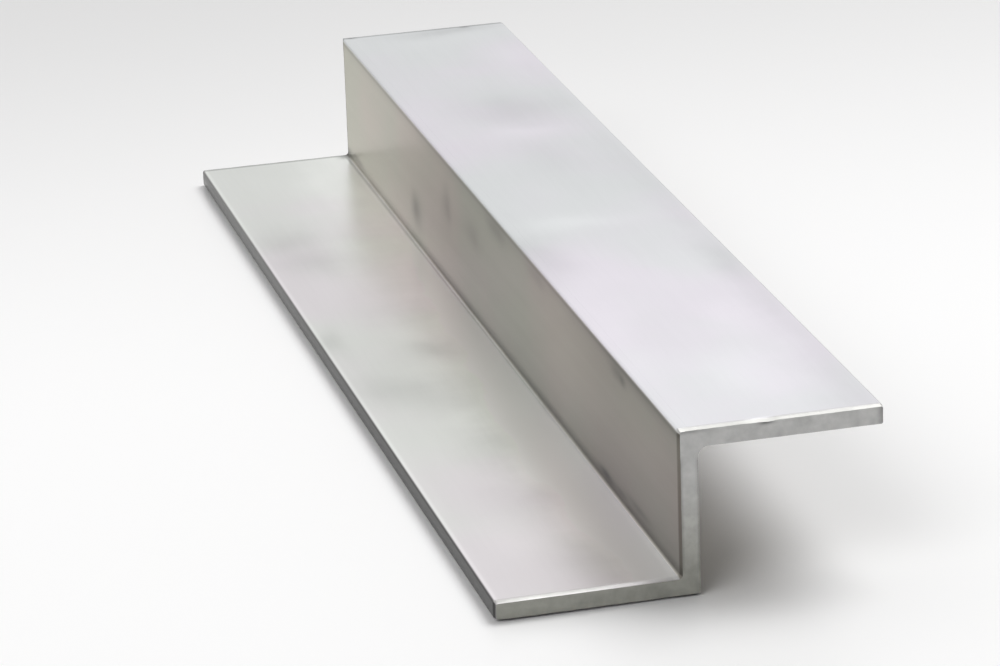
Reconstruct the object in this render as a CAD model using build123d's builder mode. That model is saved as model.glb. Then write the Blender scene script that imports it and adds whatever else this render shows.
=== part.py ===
"""A short length of steel Z angle: one web with a flange turned out at its foot and another at its head.

The bar lies as it is stored, on the outer face of its bottom flange. Its length runs along Y, and +Z is up.
The origin is on the floor, under the middle of the bounding box. Sizes are in millimetres.
"""

import os

from build123d import *

# The stock's own sizes. A flange is measured over the outside of the section, from heel to toe.
bar_length = 210.0
section_depth = 25.0
top_flange_width = 30.0
bottom_flange_width = 30.0
web_thickness = 3.0
top_flange_thickness = 3.0
bottom_flange_thickness = 3.0

# Corners of the section, as they leave the mill. The root over the bottom flange is tighter than the other.
ledge_root_radius = 0.4
soffit_root_radius = 1.2
heel_radius = 0.3
toe_radius = 0.5

# The saw's sharp edge, filed off all round each end.
end_deburr = 0.25

# Places across the section. The box around both toes is centred on X, and the foot stands on the floor.
section_width = top_flange_width + bottom_flange_width - web_thickness
left_toe = -section_width / 2
right_toe = section_width / 2
web_left = left_toe + bottom_flange_width - web_thickness
web_right = web_left + web_thickness
floor_level = 0.0
ledge_level = floor_level + bottom_flange_thickness
head_level = floor_level + section_depth
soffit_level = head_level - top_flange_thickness

# The outline runs from the foot of the left toe, anticlockwise as seen from the near end.
section_corners = [
    ((left_toe, floor_level), toe_radius),
    ((web_right, floor_level), heel_radius),
    ((web_right, soffit_level), soffit_root_radius),
    ((right_toe, soffit_level), toe_radius),
    ((right_toe, head_level), toe_radius),
    ((web_left, head_level), heel_radius),
    ((web_left, ledge_level), ledge_root_radius),
    ((left_toe, ledge_level), toe_radius),
]

# The near end is at -Y, and its sketch plane has X to the right and Z up.
near_end = Plane(origin=(0, -bar_length / 2, 0), x_dir=(1, 0, 0), z_dir=(0, -1, 0))

with BuildPart() as z_bar:
    with BuildSketch(near_end):
        with BuildLine():
            FilletPolyline(
                *[corner for corner, _ in section_corners],
                radius=[radius for _, radius in section_corners],
                close=True,
            )
        make_face()
    extrude(amount=-bar_length)
    sawn_ends = z_bar.faces().filter_by(Axis.Y)
    chamfer(sawn_ends.edges(), length=end_deburr)

z_bar.part.label = "z_bar"

os.makedirs("parts", exist_ok=True)
export_step(z_bar.part, "parts/z_bar.step")
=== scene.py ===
"""The looks of a short length of steel Z angle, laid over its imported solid. All lengths are in metres."""

import math

import bpy
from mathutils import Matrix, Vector


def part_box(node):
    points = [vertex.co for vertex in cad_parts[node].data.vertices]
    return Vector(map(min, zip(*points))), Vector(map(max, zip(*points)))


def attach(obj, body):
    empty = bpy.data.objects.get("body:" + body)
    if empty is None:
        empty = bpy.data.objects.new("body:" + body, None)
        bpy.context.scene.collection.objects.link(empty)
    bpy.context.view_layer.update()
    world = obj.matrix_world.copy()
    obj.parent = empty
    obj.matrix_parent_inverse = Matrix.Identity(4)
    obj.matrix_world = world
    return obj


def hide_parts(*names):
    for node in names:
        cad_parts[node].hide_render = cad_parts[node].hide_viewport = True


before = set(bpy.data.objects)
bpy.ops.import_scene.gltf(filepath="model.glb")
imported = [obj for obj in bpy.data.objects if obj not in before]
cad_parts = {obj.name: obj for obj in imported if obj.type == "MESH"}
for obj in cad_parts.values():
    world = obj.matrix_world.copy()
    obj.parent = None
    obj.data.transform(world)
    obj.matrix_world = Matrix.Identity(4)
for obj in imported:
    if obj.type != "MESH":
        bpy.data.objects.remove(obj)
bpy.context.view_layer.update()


# The bar: one piece of mild steel, rolled hot to a Z section and cut from a longer length with a saw.
# Its web stands on a flange that lies on the floor, and carries another that points the other way.
# The saw's burr is filed off by hand, so the narrow bevel round each end wanders, and has a few nicks.

mm = 0.001


class Wire:
    """An output socket of a node. Arithmetic on it adds Math nodes, and wire["Y"] is its node's output Y."""

    def __init__(self, graph, socket):
        self.graph = graph
        self.socket = socket

    def __getitem__(self, name):
        return Wire(self.graph, self.socket.node.outputs[name])

    def maths(self, operation, *values):
        """Add one Math node that works on these numbers or wires."""
        return self.graph.node("ShaderNodeMath", {"operation": operation}, dict(enumerate(values)))

    def __add__(self, other):
        return self.maths("ADD", self, other)

    def __radd__(self, other):
        return self.maths("ADD", other, self)

    def __sub__(self, other):
        return self.maths("SUBTRACT", self, other)

    def __rsub__(self, other):
        return self.maths("SUBTRACT", other, self)

    def __mul__(self, other):
        return self.maths("MULTIPLY", self, other)

    def __rmul__(self, other):
        return self.maths("MULTIPLY", other, self)

    def __truediv__(self, other):
        return self.maths("DIVIDE", self, other)

    def __neg__(self):
        return self.maths("MULTIPLY", self, -1.0)

    def __abs__(self):
        return self.maths("ABSOLUTE", self)

    def __pow__(self, other):
        return self.maths("POWER", self, other)

    def most(self, other):
        """The larger of this and another number or wire."""
        return self.maths("MAXIMUM", self, other)

    def hump(self, width):
        """1 where this is 0, and smoothly less on both sides of it."""
        share = self / width
        return self.maths("EXPONENT", -(share * share))

    def rise(self, start, end):
        """0 where this is at start or before, 1 at end or past it, and a smooth rise between them."""
        settings = {"interpolation_type": "SMOOTHSTEP"}
        sockets = {"Value": self, "From Min": start, "From Max": end}
        return self.graph.node("ShaderNodeMapRange", settings, sockets)


class Graph:
    """A node tree, with one method that adds a node to it."""

    def __init__(self, tree):
        self.tree = tree

    def node(self, kind, settings=None, sockets=None):
        """Add a node of this type, make its settings, then set or link its sockets by name or number."""
        made = self.tree.nodes.new(kind)
        for name, value in (settings or {}).items():
            setattr(made, name, value)
        open_sockets = {socket.name: socket for socket in reversed(made.inputs) if socket.enabled}
        for name, value in (sockets or {}).items():
            socket = made.inputs[name] if isinstance(name, int) else open_sockets[name]
            if isinstance(value, Wire):
                self.tree.links.new(value.socket, socket)
            else:
                socket.default_value = value
        shown = [socket for socket in made.outputs if socket.enabled]
        return Wire(self, shown[0]) if shown else None


low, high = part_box("z_bar")
bar_length = high.y - low.y
section_depth = high.z - low.z
wall = 3.0 * mm
flange_width = (high.x - low.x + wall) / 2

sizes = {
    "Length": bar_length,
    "Depth": section_depth,
    "Flange width": flange_width,
    "Wall": wall,
    "Ledge root": 0.4 * mm,
    "Soffit root": 1.2 * mm,
    "Heel radius": 0.3 * mm,
    "Toe radius": 0.5 * mm,
    "Bevel": 0.9 * mm,
    "Bevel wander": 0.4 * mm,
    "Bevel slope": 0.22,
    "Foot slope": 0.15,
    "Toe lift": 0.1 * mm,
    "Hollow": 0.05 * mm,
    "Face spacing": 1.3 * mm,
}

bar_tree = bpy.data.node_groups.new("rolled z section", "GeometryNodeTree")
for name, value in sizes.items():
    socket = bar_tree.interface.new_socket(name, in_out="INPUT", socket_type="NodeSocketFloat")
    socket.default_value = value
for name in ("Skin", "Sawn end"):
    bar_tree.interface.new_socket(name, in_out="INPUT", socket_type="NodeSocketMaterial")
bar_tree.interface.new_socket("Geometry", in_out="OUTPUT", socket_type="NodeSocketGeometry")

g = Graph(bar_tree)
size = g.node("NodeGroupInput")
length, depth, reach = size["Length"], size["Depth"], size["Flange width"]
thick = size["Wall"]
toe_x = reach - thick / 2
web_x = thick / 2

# The outline, from the foot of the left toe, anticlockwise as seen from the near end.
corners = [
    (-toe_x, 0.0, "Toe radius"),
    (web_x, 0.0, "Heel radius"),
    (web_x, depth - thick, "Soffit root"),
    (toe_x, depth - thick, "Toe radius"),
    (toe_x, depth, "Toe radius"),
    (-web_x, depth, "Heel radius"),
    (-web_x, thick, "Ledge root"),
    (-toe_x, thick, "Toe radius"),
]
arc_points = 7


def pick(kind, choices):
    """Choose one of these values by the index of each point."""
    switch = g.node("GeometryNodeIndexSwitch", {"data_type": kind})
    items = switch.socket.node.index_switch_items
    while len(items) < len(choices):
        items.new()
    g.tree.links.new(g.node("GeometryNodeInputIndex").socket, switch.socket.node.inputs[0])
    for number, choice in enumerate(choices):
        g.tree.links.new(choice.socket, switch.socket.node.inputs[number + 1])
    return switch


places = [g.node("ShaderNodeCombineXYZ", {}, {"X": x, "Y": z}) for x, z, _ in corners]
polygon = g.node("GeometryNodeMeshCircle", {"fill_type": "NONE"}, {"Vertices": len(corners)})
polygon = g.node("GeometryNodeSetPosition", {}, {"Geometry": polygon, "Position": pick("VECTOR", places)})
outline = g.node("GeometryNodeMeshToCurve", {}, {"Mesh": polygon})
radii = pick("FLOAT", [size[name] for _, _, name in corners])
rounding = {"Curve": outline, "Radius": radii, "Count": arc_points}
outline = g.node("GeometryNodeFilletCurve", {"mode": "POLY"}, rounding)

# Each flat is cut into short pieces, so that it can be a little out of true.
here = g.node("GeometryNodeInputPosition")
next_point = g.node("GeometryNodeOffsetPointInCurve", {}, {"Offset": 1})["Point Index"]
at_next = {"Value": here, "Index": next_point}
there = g.node("GeometryNodeFieldAtIndex", {"data_type": "FLOAT_VECTOR"}, at_next)
run = g.node("ShaderNodeVectorMath", {"operation": "DISTANCE"}, {0: here, 1: there})["Value"]
outline = g.node("GeometryNodeSubdivideCurve", {}, {"Curve": outline, "Cuts": run / size["Face spacing"]})


def keep(geometry, name, kind, value):
    """Store a value on each point, so that the swept mesh still has it."""
    settings = {"data_type": kind, "domain": "POINT"}
    sockets = {"Geometry": geometry, "Name": name, "Value": value}
    return g.node("GeometryNodeStoreNamedAttribute", settings, sockets)


def kept(name, kind):
    """Read a value that was stored on the points."""
    return g.node("GeometryNodeInputNamedAttribute", {"data_type": kind}, {"Name": name})


along = g.node("ShaderNodeSeparateXYZ", {}, {"Vector": g.node("GeometryNodeInputTangent")})
inward = g.node("ShaderNodeCombineXYZ", {}, {"X": -along["Y"], "Y": along["X"]})
outline = keep(outline, "section place", "FLOAT_VECTOR", here)
outline = keep(outline, "section inward", "FLOAT_VECTOR", inward)

# The stations along the bar crowd together at the ends, where the edge is filed.
stations = 240
crowding = 1.7
rail = g.node("GeometryNodeCurvePrimitiveLine", {}, {"End": (0.0, 0.0, 1.0)})
rail = g.node("GeometryNodeResampleCurve", {}, {"Curve": rail, "Count": stations})
share = g.node("GeometryNodeSplineParameter")["Factor"] * 2.0 - 1.0
to_end = (1.0 - abs(share)).most(0.0) ** crowding
station = share.maths("SIGN", share) * (1.0 - to_end) * length / 2
rail = keep(rail, "station", "FLOAT", station)

sweep = {"Curve": rail, "Profile Curve": outline, "Fill Caps": True}
bar_mesh = g.node("GeometryNodeCurveToMesh", {}, sweep)

section = g.node("ShaderNodeSeparateXYZ", {}, {"Vector": kept("section place", "FLOAT_VECTOR")})
inside = g.node("ShaderNodeSeparateXYZ", {}, {"Vector": kept("section inward", "FLOAT_VECTOR")})
x, y, z = section["X"], kept("station", "FLOAT"), section["Y"]
place = g.node("ShaderNodeCombineXYZ", {}, {"X": x, "Y": y, "Z": z})


def noise(scale, detail=2.0, stretch=(1.0, 1.0, 1.0), shift=(0.0, 0.0, 0.0)):
    """Smooth noise over the bar, from 0 to 1, with so many waves to the metre."""
    moved = g.node("ShaderNodeVectorMath", {"operation": "MULTIPLY_ADD"}, {0: place, 1: stretch, 2: shift})
    return g.node("ShaderNodeTexNoise", {}, {"Vector": moved, "Scale": scale, "Detail": detail})


# The filed bevel slopes gently. Its width wanders along the edge, and three nicks take bites out of it at the
# head of the near end. Each nick has its place across, its half width and its length.
from_end = length / 2 - abs(y)
bevel = size["Bevel"] + size["Bevel wander"] * (noise(420.0) - 0.5)
nicks = [
    (11.2 * mm, 0.9 * mm, 0.7 * mm),
    (8.6 * mm, 0.4 * mm, 0.5 * mm),
    (-0.9 * mm, 0.5 * mm, 0.4 * mm),
]
near_half = (-y).rise(0.0, 10.0 * mm)
at_head = z.rise(24.0 * mm, 24.5 * mm)
for nick_x, nick_width, nick_length in nicks:
    bevel = bevel + nick_length * (x - nick_x).hump(nick_width) * near_half * at_head

# The bevel is steeper under the foot, so that a thin dark gap shows between the end and the floor. The foot
# lifts a little at the toes, and the faces are slightly hollow here and there.
at_foot = 1.0 - z.rise(0.1 * mm, 0.7 * mm)
at_toes = abs(x).rise(25.5 * mm, 28.5 * mm)
inset = (bevel - from_end).most(0.0) * (size["Bevel slope"] + at_foot * size["Foot slope"])
inset = inset + size["Toe lift"] * at_foot * at_toes
inset = inset + size["Hollow"] * noise(38.0, 1.0, shift=(3.0, 1.0, 2.0))
way_in = g.node("ShaderNodeCombineXYZ", {}, {"X": inside["X"], "Z": inside["Y"]})
offset = g.node("ShaderNodeVectorMath", {"operation": "SCALE"}, {0: way_in, "Scale": inset})
moved = g.node("ShaderNodeVectorMath", {"operation": "ADD"}, {0: place, 1: offset})
bar_mesh = g.node("GeometryNodeSetPosition", {}, {"Geometry": bar_mesh, "Position": moved})

# The sweep leaves its faces pointing inwards, so they are turned round. All edges are shaded soft, apart from
# the rims of the sawn ends.
bar_mesh = g.node("GeometryNodeFlipFaces", {}, {"Mesh": bar_mesh})
sharpest_bend = math.radians(35.0)
bend = g.node("GeometryNodeInputMeshEdgeAngle")["Unsigned Angle"]
soft = g.node("FunctionNodeCompare", {"operation": "LESS_THAN"}, {"A": bend, "B": sharpest_bend})
bar_mesh = g.node("GeometryNodeSetShadeSmooth", {"domain": "FACE"}, {"Geometry": bar_mesh})
smoothing = {"Geometry": bar_mesh, "Shade Smooth": soft}
bar_mesh = g.node("GeometryNodeSetShadeSmooth", {"domain": "EDGE"}, smoothing)
bar_mesh = g.node("GeometryNodeRealizeInstances", {}, {"Geometry": bar_mesh})
bar_mesh = g.node("GeometryNodeSetMaterial", {}, {"Geometry": bar_mesh, "Material": size["Skin"]})
facing = g.node("ShaderNodeSeparateXYZ", {}, {"Vector": g.node("GeometryNodeInputNormal")})["Y"]
nearly_square = 0.99
is_end = g.node("FunctionNodeCompare", {"operation": "GREATER_THAN"}, {"A": abs(facing), "B": nearly_square})
end_faces = {"Geometry": bar_mesh, "Selection": is_end, "Material": size["Sawn end"]}
bar_mesh = g.node("GeometryNodeSetMaterial", {}, end_faces)
g.node("NodeGroupOutput", {}, {"Geometry": bar_mesh})


def new_material(name):
    """Start a material, and give it with its graph and its shader."""
    material = bpy.data.materials.new(name)
    material.use_nodes = True
    graph = Graph(material.node_tree)
    return material, graph, material.node_tree.nodes["Principled BSDF"]


def blend(share, under, over):
    """Lay one colour over another, as strongly as share says."""
    return g.node("ShaderNodeMix", {"data_type": "RGBA"}, {"Factor": share, "A": under, "B": over})


def shaded(colour, tone):
    """Make a colour paler or darker."""
    return g.node("ShaderNodeVectorMath", {"operation": "SCALE"}, {0: colour, "Scale": tone})


def finish_shader(shader, colour, rough, height, relief):
    """Link what varies over the surface to the shader. Relief is how deep the fine grain is."""
    normal = g.node("ShaderNodeBump", {}, {"Height": height, "Distance": relief})
    for name, value in (("Base Color", colour), ("Roughness", rough), ("Normal", normal)):
        g.tree.links.new(value.socket, shader.inputs[name])
    shader.inputs["Metallic"].default_value = 1.0


# The skin: bright rolled steel. The web and the underside of the top flange are a greyer, warmer steel,
# partly a tarnish and partly painted shade, and the toes' sides are painted near black, a painted reflection
# of the shaded floor beside them. Its hue drifts a little everywhere.
skin, g, shader = new_material("rolled steel skin")
place = g.node("ShaderNodeTexCoord")["Object"]
part = g.node("ShaderNodeSeparateXYZ", {}, {"Vector": place})
x, y, z = part["X"], part["Y"], part["Z"]
hue = noise(22.0, 3.0, shift=(11.0, 3.0, 0.0)).rise(0.35, 0.65)
cool_steel = blend(hue, (0.645, 0.622, 0.672, 1.0), (0.615, 0.638, 0.644, 1.0))
plain_steel = blend(hue, (0.625, 0.602, 0.618, 1.0), (0.602, 0.622, 0.597, 1.0))
# The web's steel is a warm tarnish, made darker still as painted shade; the soffit gets it too.
web_tarnish_and_shade_steel = blend(hue, (0.383, 0.334, 0.289, 1.0), (0.345, 0.340, 0.277, 1.0))
# The toes' sides are painted shade, darkest at the near end.
toe_shade_steel = blend(y.rise(-50.0 * mm, 80.0 * mm), (0.03, 0.03, 0.028, 1.0), (0.15, 0.15, 0.145, 1.0))
on_top = z.rise(section_depth - 0.8 * mm, section_depth - 0.2 * mm)
on_web = (1.0 - abs(x).rise(1.55 * mm, 1.9 * mm)) * z.rise(0.1 * mm, 0.4 * mm) * (1.0 - on_top)
on_ledge = z.rise(2.7 * mm, 2.9 * mm) * (1.0 - z.rise(3.1 * mm, 3.4 * mm))
on_toe = abs(x).rise(28.1 * mm, 28.4 * mm)
on_soffit = x.rise(1.5 * mm, 1.9 * mm) * z.rise(21.0 * mm, 21.7 * mm)
on_soffit = on_soffit * (1.0 - z.rise(22.2 * mm, 22.5 * mm))
colour = blend(on_web.most(on_soffit), blend(on_top, plain_steel, cool_steel), web_tarnish_and_shade_steel)
colour = blend(on_toe, colour, toe_shade_steel)

# Soft clouds, long rolling streaks and a fine grain that runs along the bar.
clouds = noise(30.0, 3.0) - 0.5
streaks = noise(260.0, 2.0, stretch=(1.0, 0.02, 1.0)) - 0.5
grain = noise(1400.0, 3.0, stretch=(1.0, 0.06, 1.0)) - 0.5
cloud_tone = 0.12
streak_tone = 0.05
grain_tone = 0.04
tone = 1.0 + clouds * cloud_tone + streaks * streak_tone + grain * grain_tone

# Smudges from handling and stacking: the middle of each across and along its face, its half width and half
# length there, all in millimetres, and how much paler or darker it makes the steel. Their edges waver. The
# ledge's list opens with four broad ones, painted light that makes it paler towards the root. The web's holds
# two long dark bands along its head, painted shade under the heel.
waver = (noise(75.0, 3.0, shift=(0.0, 7.0, 0.0)) - 0.5) * 9.0 * mm
side_waver = (noise(75.0, 3.0, shift=(0.0, 0.0, 9.0)) - 0.5) * 6.0 * mm
top_smudges = [
    (28.0, -60.0, 4.0, 62.0, -0.12),
    (26.0, -37.0, 3.0, 7.0, -0.08),
    (25.0, -99.0, 6.0, 15.0, -0.08),
    (14.0, -85.0, 6.0, 11.0, 0.09),
    (19.5, -62.0, 4.0, 8.0, 0.06),
    (9.0, -12.0, 8.0, 4.5, 0.1),
    (0.0, -27.0, 4.0, 13.0, -0.15),
    (0.0, -70.0, 5.0, 40.0, 0.07),
    (14.0, 22.0, 6.0, 9.0, -0.06),
    (15.0, 38.0, 6.0, 4.0, 0.06),
    (17.0, 51.0, 10.0, 9.0, -0.13),
    (17.0, 102.5, 9.0, 2.5, -0.18),
    (24.0, 84.0, 4.0, 8.0, 0.05),
]
ledge_light_and_smudges = [
    (-3.0, -25.0, 10.0, 100.0, 0.7),
    (-1.5, 0.0, 4.5, 130.0, 0.32),
    (-8.0, -60.0, 4.0, 50.0, 0.16),
    (-2.0, -106.0, 8.0, 30.0, 0.3),
    (-11.5, -1.5, 3.5, 4.5, -0.18),
    (-21.0, -19.0, 6.0, 9.0, -0.16),
    (-12.0, -97.0, 4.0, 8.0, -0.14),
    (-20.0, 47.0, 6.0, 6.0, -0.14),
    (-23.0, 59.0, 5.0, 6.0, -0.14),
    (-26.5, 7.0, 2.0, 6.0, -0.14),
    (-18.0, -84.0, 6.0, 9.0, 0.08),
    (-9.0, 90.0, 4.0, 14.0, 0.08),
    (-9.0, -50.0, 5.0, 16.0, 0.08),
]
web_shade_and_smudges = [
    (24.2, -84.0, 1.3, 24.0, -0.22),
    (22.6, -75.0, 1.0, 3.0, -0.3),
    (24.0, 0.0, 1.6, 150.0, -0.1),
    (9.0, 50.6, 2.6, 3.6, -0.4),
    (16.8, 28.0, 3.2, 2.6, -0.26),
    (17.2, 10.0, 2.2, 5.0, -0.2),
    (22.8, -5.0, 1.6, 5.0, -0.26),
    (22.6, -30.0, 1.3, 4.0, -0.16),
    (14.0, -103.0, 20.0, 9.0, -0.08),
]

# Small marks are given the same way, but their edges don't waver: knocks at the ends, rubs along the web, and
# a dark spot in the far corner of the ledge. The top's first two are painted shade in the nicks at the near
# end.
top_marks_and_nick_shade = [
    (11.2, -104.7, 1.0, 0.4, -0.5),
    (8.6, -104.8, 0.5, 0.4, -0.3),
    (0.0, 104.2, 0.8, 0.8, -0.45),
    (21.0, 103.8, 1.0, 0.8, -0.35),
]
web_marks = [
    (4.4, -67.0, 0.7, 3.5, -0.75),
    (5.2, -84.0, 0.6, 6.0, -0.4),
    (4.5, -75.0, 0.5, 3.0, -0.35),
    (22.4, -77.0, 0.8, 1.6, -0.4),
    (3.2, 103.5, 1.3, 2.5, -0.6),
    (4.4, 96.0, 0.7, 4.0, -0.3),
]
ledge_marks = [
    (-2.4, 103.4, 1.2, 1.4, -0.6),
]

# Each group goes on its own face, with the way across that face and how much of the waver it takes across and
# along.
faces = [
    (on_top, x, top_smudges, 1.0, 1.0),
    (on_top, x, top_marks_and_nick_shade, 0.0, 0.0),
    (on_ledge, x, ledge_light_and_smudges, 1.0, 1.0),
    (on_ledge, x, ledge_marks, 0.0, 0.0),
    (on_web, z, web_shade_and_smudges, 0.25, 1.0),
    (on_web, z, web_marks, 0.0, 0.0),
]
for face, across, smudges, across_share, along_share in faces:
    across = across + side_waver * across_share
    along_bar = y + waver * along_share
    change = 0.0
    for middle, along, half_width, half_length, strength in smudges:
        spot = (across - middle * mm).hump(half_width * mm) * (along_bar - along * mm).hump(half_length * mm)
        change = spot * strength + change
    tone = tone + face * change

# Painted light makes the flanges a little paler towards the near end. Painted shade makes the web darker
# there and towards its foot, and a painted reflection makes it paler towards the far end.
painted_near_light = 0.12
painted_web_near_level = 0.62
painted_web_middle_gain = 0.2
painted_web_far_gain = 0.62
tone = tone + painted_near_light * (1.0 - on_web) * (1.0 - y.rise(-60.0 * mm, 20.0 * mm))
painted_web_level = painted_web_near_level + painted_web_middle_gain * y.rise(-75.0 * mm, -40.0 * mm)
painted_web_level = painted_web_level + painted_web_far_gain * y.rise(10.0 * mm, 105.0 * mm)
painted_foot_shade = 0.2 + 0.1 * (y + 30.0 * mm).hump(40.0 * mm) - 0.14 * y.rise(0.0, 80.0 * mm)
painted_foot_shade = painted_foot_shade * (1.0 - z.rise(3.0 * mm, 20.0 * mm))
tone = tone * (1.0 + on_web * (painted_web_level - painted_foot_shade - 1.0))

# Painted shade darkens the root, a little up from the ledge and less at the far end, and a thin line right in
# the corner, which is faint at the near end. A painted highlight runs along the ledge beside it, and along
# the toe. The right side is the left one upside down, so heights there are taken from the top flange.
right_side = x.rise(-0.1 * mm, 0.1 * mm)
from_ledge = z + right_side * (section_depth - 2.0 * z)
patchy = 0.8 + noise(300.0, 2.0, stretch=(1.0, 0.4, 1.0)) * 0.4
in_root = from_ledge.rise(3.05 * mm, 3.25 * mm) * (1.0 - from_ledge.rise(3.5 * mm, 5.2 * mm))
in_root = in_root * (1.0 - abs(x).rise(2.4 * mm, 2.8 * mm))
root_shade = 0.38 - 0.2 * y.rise(20.0 * mm, 80.0 * mm)
tone = tone * (1.0 - in_root * patchy * root_shade)
in_corner = (from_ledge - 3.1 * mm).hump(0.25 * mm) * (1.0 - abs(x).rise(2.1 * mm, 2.6 * mm))
corner_shade = 0.12 + 0.35 * y.rise(-95.0 * mm, -30.0 * mm)
tone = tone * (1.0 - patchy * in_corner * corner_shade)
painted_highlights = 0.22 * (abs(x) - 2.2 * mm).hump(0.3 * mm) + 0.16 * patchy * (abs(x) - 28.0 * mm).hump(0.3 * mm)
tone = tone * (1.0 + painted_highlights * from_ledge.rise(2.6 * mm, 2.9 * mm))

# Painted shade: the toe's side is darker along the line where it turns to the ledge, and the web along its
# head.
toe_shade_line = (from_ledge - 2.3 * mm).hump(0.5 * mm)
head_shade_line = (z - 24.1 * mm).hump(0.35 * mm)
tone = tone * (1.0 - 0.3 * on_toe * toe_shade_line)
tone = tone * (1.0 - 0.25 * patchy * on_web * head_shade_line)

# The file has left the bevel round the near end brighter where it faces up. Everywhere else the filed band is
# painted darker, as painted shade, such as on the sides of the web and on the ledge near the web. The far
# end's edges are darker all round.
from_end = bar_length / 2 - abs(y)
filed = 1.0 - from_end.rise(0.6 * mm, 1.4 * mm)
far = y.rise(-10.0 * mm, 10.0 * mm)
far_edge = 1.0 - from_end.rise(1.0 * mm, 1.8 * mm)
upward = (z.rise(24.3 * mm, 24.6 * mm) + on_ledge * abs(x).rise(4.0 * mm, 16.0 * mm)) * (1.0 - far)
filed_steel = (0.44, 0.44, 0.425)
tone = tone * (1.0 - 0.35 * far * patchy * far_edge)
tone = tone * (1.0 - 0.22 * filed * (1.0 - upward))
colour = blend(filed * upward, shaded(colour, tone), shaded(filed_steel, patchy))

# Dark places are rougher, and pale ones hardly smoother. Filing leaves the steel rougher too.
skin_rough = 0.32
dirt_rough = ((1.0 - tone) * 0.1).most(-0.02)
rough = skin_rough + clouds * 0.06 - streaks * 0.04 + dirt_rough + filed * 0.1
finish_shader(shader, colour, rough, grain + streaks * 0.5, 0.01 * mm)

# A thin dull film lies on the ledge beside the root, and fades towards the far end.
film = on_ledge * (abs(x) - 1.5 * mm).hump(5.0 * mm) * (1.0 - 0.85 * y.rise(-80.0 * mm, 30.0 * mm))
film_strength = 0.65
g.tree.links.new((1.0 - film_strength * film).socket, shader.inputs["Metallic"])

# The sawn ends: bright, rough and finely scored by the saw. Painted shade makes them darker towards the foot,
# along the sides of the web, at the right toe and at the left of the head, and dark in the largest nick.
sawn, g, shader = new_material("sawn steel end")
place = g.node("ShaderNodeTexCoord")["Object"]
part = g.node("ShaderNodeSeparateXYZ", {}, {"Vector": place})
x, z = part["X"], part["Z"]
saw_steel = blend(z.rise(0.0, 20.0 * mm), (0.495, 0.498, 0.45, 1.0), (0.49, 0.49, 0.482, 1.0))
mottle = noise(700.0, 3.0) - 0.5
score = noise(1500.0, 2.0, stretch=(0.06, 1.0, 1.0)) - 0.5
# These set the painted shade towards the foot, along the web's sides, at the right toe, the head and the
# nick.
painted_end_foot_level = 0.62
painted_end_head_gain = 0.31
tone = (1.0 + mottle * 0.6) * (painted_end_foot_level + painted_end_head_gain * z.rise(0.0, 18.0 * mm))
web_side_shade = z.rise(3.0 * mm, 5.0 * mm) * (1.0 - z.rise(19.0 * mm, 22.0 * mm))
web_side_shade = web_side_shade * abs(x).rise(0.8 * mm, 1.4 * mm)
head_rim_shade = (z - 24.6 * mm).hump(0.3 * mm)
tone = tone * (1.0 - 0.3 * web_side_shade) * (1.0 - 0.3 * x.rise(27.2 * mm, 28.2 * mm))
tone = tone * (1.0 - 0.3 * head_rim_shade * (1.0 - x.rise(0.0, 4.0 * mm)))
tone = tone * (1.0 - 0.6 * head_rim_shade * (x - 11.2 * mm).hump(1.0 * mm))
saw_rough = 0.62
finish_shader(shader, shaded(saw_steel, tone), saw_rough + mottle * 0.2, score + mottle, 0.03 * mm)

maker = bpy.data.objects.new("maker", bpy.data.meshes.new("maker"))
bpy.context.scene.collection.objects.link(maker)
modifier = maker.modifiers.new("rolled z section", "NODES")
modifier.node_group = bar_tree
identifiers = {item.name: item.identifier for item in bar_tree.interface.items_tree if item.in_out == "INPUT"}
for name, value in {**sizes, "Skin": skin, "Sawn end": sawn}.items():
    modifier[identifiers[name]] = value
shape = bpy.data.meshes.new_from_object(maker.evaluated_get(bpy.context.evaluated_depsgraph_get()))
bpy.data.objects.remove(maker)
bar = bpy.data.objects.new("bar", shape)
bpy.context.scene.collection.objects.link(bar)
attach(bar, "root")
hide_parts("z_bar")


# The floor: a sheet of white paper that the bar lies on, far wider than the view.
# It is a little greyer behind the bar, a painted shade where the light falls off.

floor_half = 4.0
floor_corners = [
    (-floor_half, -floor_half, 0),
    (floor_half, -floor_half, 0),
    (floor_half, floor_half, 0),
    (-floor_half, floor_half, 0),
]
floor_mesh = bpy.data.meshes.new("floor")
floor_mesh.from_pydata(floor_corners, [], [(0, 1, 2, 3)])
floor = bpy.data.objects.new("floor", floor_mesh)
bpy.context.scene.collection.objects.link(floor)
paper, g, shader = new_material("white paper")
behind = g.node("ShaderNodeSeparateXYZ", {}, {"Vector": g.node("ShaderNodeTexCoord")["Object"]})["Y"]
white = (0.94, 0.94, 0.94, 1.0)
painted_falloff_grey = (0.62, 0.62, 0.62, 1.0)
g.tree.links.new(blend(behind.rise(-0.02, 0.3), white, painted_falloff_grey).socket, shader.inputs["Base Color"])
shader.inputs["Roughness"].default_value = 0.35
floor_mesh.materials.append(paper)


# The light: a plain room that is paler behind the bar than in front of it, and two square soft boxes.
# The main one hangs high up behind the bar and to its right, the other lower down in front and to its left.

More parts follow.
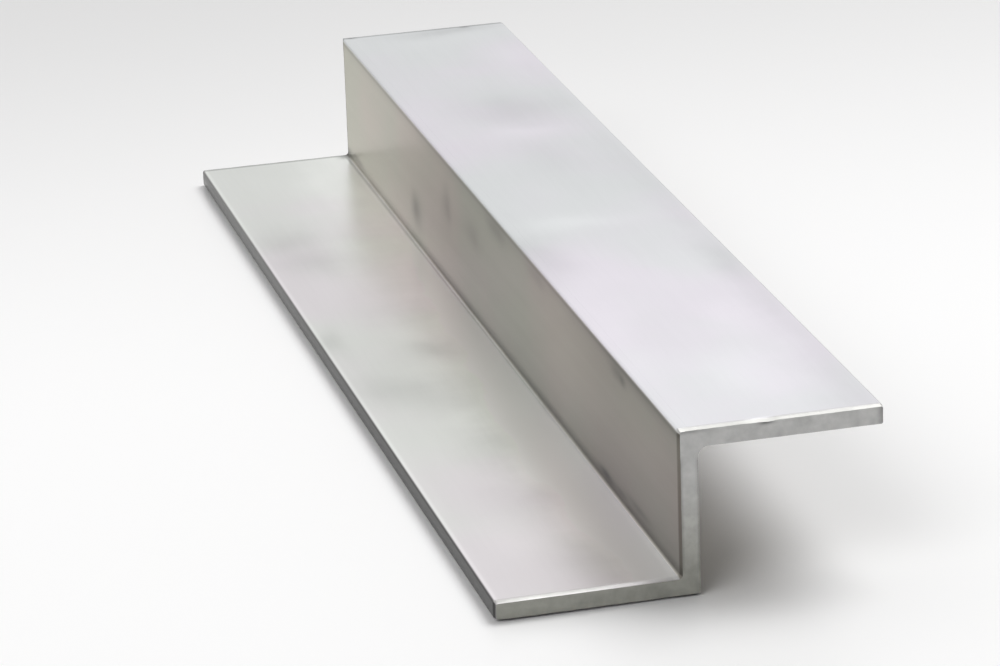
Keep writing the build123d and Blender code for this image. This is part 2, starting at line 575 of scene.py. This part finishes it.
world = bpy.data.worlds.new("plain room")
world.use_nodes = True
bpy.context.scene.world = world
g = Graph(world.node_tree)
looking = g.node("ShaderNodeTexCoord")["Generated"]
sight = g.node("ShaderNodeSeparateXYZ", {}, {"Vector": looking})
room_tone = (0.09, 0.09, 0.09)
back_wall = (0.96, 0.95, 0.95)
room = {0: back_wall, 1: sight["Y"].rise(0.0, 0.95), 2: room_tone}
room = g.node("ShaderNodeVectorMath", {"operation": "MULTIPLY_ADD"}, room)

# What the camera and the metal see of it is pale all round, and greyer overhead.
ray = g.node("ShaderNodeLightPath")
mirrored = (ray["Is Camera Ray"] + ray["Is Glossy Ray"]) * (1.0 - ray["Diffuse Depth"])
pale_wall = (1.0, 0.99, 0.99)
pale_room = shaded(pale_wall, 1.0 - 0.85 * sight["Z"].rise(0.6, 1.0))
room = blend(mirrored, room, pale_room)
g.tree.links.new(room.socket, g.tree.nodes["Background"].inputs["Color"])

# Each soft box has its place, its width and its brightness.
soft_boxes = [
    ("main soft box", Vector((1.01, 0.63, 2.2)), 1.48, 6.1),
    ("second soft box", Vector((-1.35, -1.0, 1.85)), 1.55, 2.6),
]
for name, box_place, box_width, brightness in soft_boxes:
    lamp_data = bpy.data.lights.new(name, "AREA")
    lamp_data.size = box_width
    lamp_data.energy = brightness * math.pi * box_width ** 2
    lamp = bpy.data.objects.new(name, lamp_data)
    lamp.location = box_place
    lamp.rotation_euler = box_place.to_track_quat("Z", "Y").to_euler()
    bpy.context.scene.collection.objects.link(lamp)


# The camera: it stands in front of the bar and a little to its left, and looks down on it through a long
# lens. Its place and turn were fitted to the bar's corners.

camera_data = bpy.data.cameras.new("camera")
camera_data.lens = 160.46
camera_data.sensor_width = 36.0
camera = bpy.data.objects.new("camera", camera_data)
camera.location = (-0.16346, -0.65537, 0.24558)
camera.rotation_euler = [math.radians(angle) for angle in (70.2766, 1.9164, -14.6807)]
bpy.context.scene.collection.objects.link(camera)
bpy.context.scene.camera = camera
bpy.context.scene.view_settings.view_transform = "Standard"
